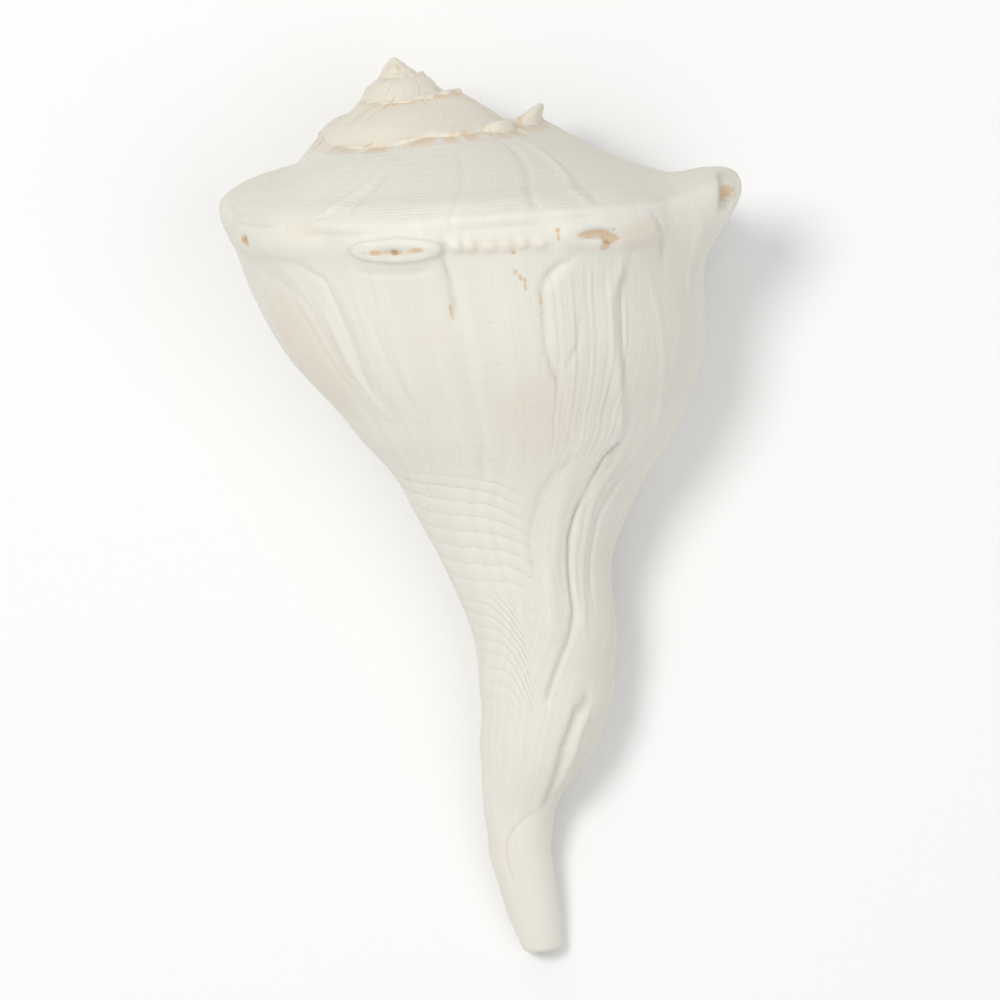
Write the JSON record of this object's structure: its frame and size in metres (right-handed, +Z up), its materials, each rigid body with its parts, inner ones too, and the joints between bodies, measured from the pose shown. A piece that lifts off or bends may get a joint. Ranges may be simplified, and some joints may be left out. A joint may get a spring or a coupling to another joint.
{
  "type": "whelk shell",
  "caption": "Bleached left-handed whelk shell with a low knobbed spire, a wide shoulder and a long tapering open canal, lying on its aperture.",
  "frame": {"origin": "centre of the bounding box at the level of the surface the shell lies on", "axes": "+Z up, +Y along the shell from the end of the canal towards the apex, +X towards the outer lip"},
  "size_m": [0.1124, 0.204, 0.0872],
  "materials": {
    "shell": "satin"
  },
  "bodies": {
    "root": {"whelk_shell": "shell"}
  },
  "joints": []
}
